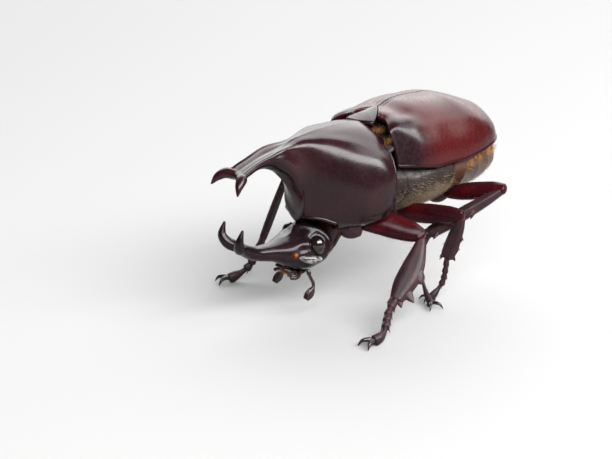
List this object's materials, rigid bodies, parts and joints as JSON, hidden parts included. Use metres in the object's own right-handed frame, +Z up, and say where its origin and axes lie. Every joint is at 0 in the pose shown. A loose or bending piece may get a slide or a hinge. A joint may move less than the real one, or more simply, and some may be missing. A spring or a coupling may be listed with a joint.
{
  "type": "rhinoceros beetle",
  "caption": "Life-size male rhinoceros beetle standing on its feet, with forked horns on thorax and head, domed wing cases and toothed legs.",
  "frame": {"origin": "on the floor under the middle of the beetle's bounding box", "axes": "+Z up from the floor, +X towards the beetle's left side, +Y towards its rear, so it faces -Y"},
  "size_m": [0.0442, 0.0628, 0.0355],
  "materials": {
    "shell": "glossy near-black brown shell with a red tint",
    "wing_case": "glossy mahogany-red shell with fine pores",
    "femur": "glossy dark red",
    "limb": "satin dark purplish brown with pores",
    "belly": "satin brown under a short pale down",
    "eye": "glossy black",
    "feeler": "semi-gloss dark brown"
  },
  "bodies": {
    "root": {"prothorax": "shell", "thorax_horn": "shell", "head": "shell", "head_horn": "shell", "scutellum": "shell", "eye_left": "eye", "eye_right": "eye", "antenna_left": "feeler", "antenna_right": "feeler", "mouthparts": "feeler", "elytron_left": "wing_case", "elytron_right": "wing_case", "hind_thorax": "belly", "abdomen": "belly", "coxa_front_left": "limb", "coxa_front_right": "limb", "coxa_mid_left": "limb", "coxa_mid_right": "limb", "coxa_hind_left": "limb", "coxa_hind_right": "limb", "femur_front_left": "femur", "femur_front_right": "femur", "femur_mid_left": "femur", "femur_mid_right": "femur", "femur_hind_left": "femur", "femur_hind_right": "femur", "tibia_front_left": "limb", "tibia_front_right": "limb", "tibia_mid_left": "limb", "tibia_mid_right": "limb", "tibia_hind_left": "limb", "tibia_hind_right": "limb", "tarsus_front_left": "limb", "tarsus_front_right": "limb", "tarsus_mid_left": "limb", "tarsus_mid_right": "limb", "tarsus_hind_left": "limb", "tarsus_hind_right": "limb"}
  },
  "joints": []
}
